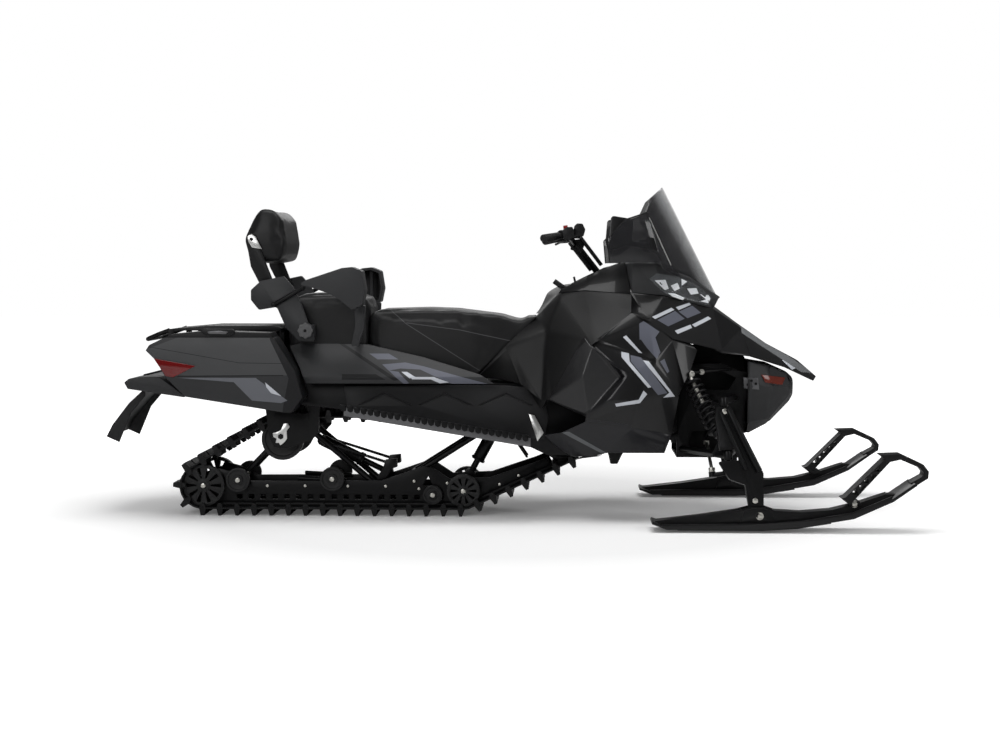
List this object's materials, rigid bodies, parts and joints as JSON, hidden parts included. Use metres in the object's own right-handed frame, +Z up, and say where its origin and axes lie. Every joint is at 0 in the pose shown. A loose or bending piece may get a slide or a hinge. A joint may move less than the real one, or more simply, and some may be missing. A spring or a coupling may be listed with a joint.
{
  "type": "snowmobile",
  "caption": "Touring snowmobile with steered skis, lugged track loop, stepped seat with tilting backrest, lidded saddlebags, rear rack and windshield.",
  "frame": {"origin": "on the ground, under the middle of the machine's overall box", "axes": "+X forward to the ski tips, +Y to the machine's left, +Z up"},
  "size_m": [3.337, 1.222, 1.372],
  "materials": {
    "amber_lens": "amber red reflector",
    "bare_aluminium": "rolled sheet",
    "black_aluminium": "black coated",
    "black_plastic": "grained charcoal plastic",
    "black_steel": "satin black paint",
    "engine_metal": "cast, plain block",
    "flap_rubber": "matte flexible rubber",
    "gloss_black": "gloss body panel",
    "grip_rubber": "ribbed rubber",
    "red_lens": "translucent red lens",
    "seat_cover": "grained vinyl cover",
    "ski_plastic": "smooth moulded plastic",
    "slide_plastic": "smooth wear plastic",
    "smoked_glass": "smoked clear sheet",
    "spring_black": "black powder coat",
    "steel": "zinc plated",
    "track_rubber": "matte moulded rubber",
    "wheel_black": "moulded wheel with rubber rim"
  },
  "bodies": {
    "chassis": {"track": "track_rubber", "slide_rails": "black_aluminium", "slide_shoes": "slide_plastic", "idler_wheels": "wheel_black", "skid_axles": "steel", "skid_arms": "black_steel", "idler_brackets": "bare_aluminium", "driveshaft": "black_steel", "tunnel": "bare_aluminium", "running_boards": "bare_aluminium", "footwell_panels": "black_plastic", "rear_side_panels": "gloss_black", "seat_driver": "seat_cover", "seat_passenger": "seat_cover", "console": "gloss_black", "side_panels": "gloss_black", "belly_pan": "black_plastic", "hood": "gloss_black", "nose_cover": "black_plastic", "front_reflectors": "amber_lens", "headlight_pod": "gloss_black", "windshield": "smoked_glass", "engine_block": "engine_metal", "bulkhead": "black_aluminium", "upper_arms": "black_steel", "lower_arms": "black_steel", "front_shocks": "spring_black", "saddlebags": "black_plastic", "taillights": "red_lens", "rear_rack": "black_steel", "tail_bumper": "black_plastic", "snow_flap": "flap_rubber", "backrest_brackets": "black_steel", "hand_guards": "black_plastic", "mirrors": "black_plastic"},
    "handlebar": {"handlebar": "black_steel", "bar_grips": "grip_rubber", "bar_controls": "black_plastic"},
    "ski_right": {"spindle_right": "black_aluminium", "ski_right": "ski_plastic", "ski_loop_right": "ski_plastic"},
    "ski_left": {"spindle_left": "black_aluminium", "ski_left": "ski_plastic", "ski_loop_left": "ski_plastic"},
    "tie_rod_right": {"tie_rod_right": "steel"},
    "tie_rod_left": {"tie_rod_left": "steel"},
    "bag_lid_right": {"bag_lid_right": "black_plastic"},
    "bag_lid_left": {"bag_lid_left": "black_plastic"},
    "backrest": {"backrest_arms": "black_steel", "backrest_pad": "seat_cover"}
  },
  "joints": [
    {"name": "steer", "type": "hinge", "parent": "chassis", "child": "handlebar", "pos_m": [0.296, 0, 1.135], "axis": [-0.6183, 0, 0.7859], "range_deg": [-30, 30]},
    {"name": "ski_steer_right", "type": "hinge", "parent": "chassis", "child": "ski_right", "pos_m": [0.897, -0.495, 0.292], "axis": [-0.0748, 0.173, 0.9821], "range_deg": [-27, 27]},
    {"name": "ski_steer_left", "type": "hinge", "parent": "chassis", "child": "ski_left", "pos_m": [0.897, 0.495, 0.292], "axis": [-0.0748, -0.173, 0.9821], "range_deg": [-27, 27]},
    {"name": "tie_rod_right", "type": "hinge", "parent": "ski_right", "child": "tie_rod_right", "pos_m": [0.83673, -0.46206, 0.2327], "axis": [-0.0748, 0.173, 0.9821], "range_deg": [-27, 27]},
    {"name": "tie_rod_left", "type": "hinge", "parent": "ski_left", "child": "tie_rod_left", "pos_m": [0.83673, 0.46206, 0.2327], "axis": [-0.0748, -0.173, 0.9821], "range_deg": [-27, 27]},
    {"name": "bag_lid_right", "type": "hinge", "parent": "chassis", "child": "bag_lid_right", "pos_m": [-1.155, -0.2073, 0.7603], "axis": [-1, 0, 0], "range_deg": [0, 50]},
    {"name": "bag_lid_left", "type": "hinge", "parent": "chassis", "child": "bag_lid_left", "pos_m": [-1.155, 0.2073, 0.7603], "axis": [1, 0, 0], "range_deg": [0, 50]},
    {"name": "backrest_tilt", "type": "hinge", "parent": "chassis", "child": "backrest", "pos_m": [-0.965, 0, 0.962], "axis": [0, 1, 0], "range_deg": [-15, 5]}
  ],
  "couplings": [
    {"joint": "ski_steer_right", "follows": "steer", "ratio": 0.9},
    {"joint": "ski_steer_left", "follows": "steer", "ratio": 0.9},
    {"joint": "tie_rod_right", "follows": "steer", "ratio": -0.9},
    {"joint": "tie_rod_left", "follows": "steer", "ratio": -0.9}
  ]
}
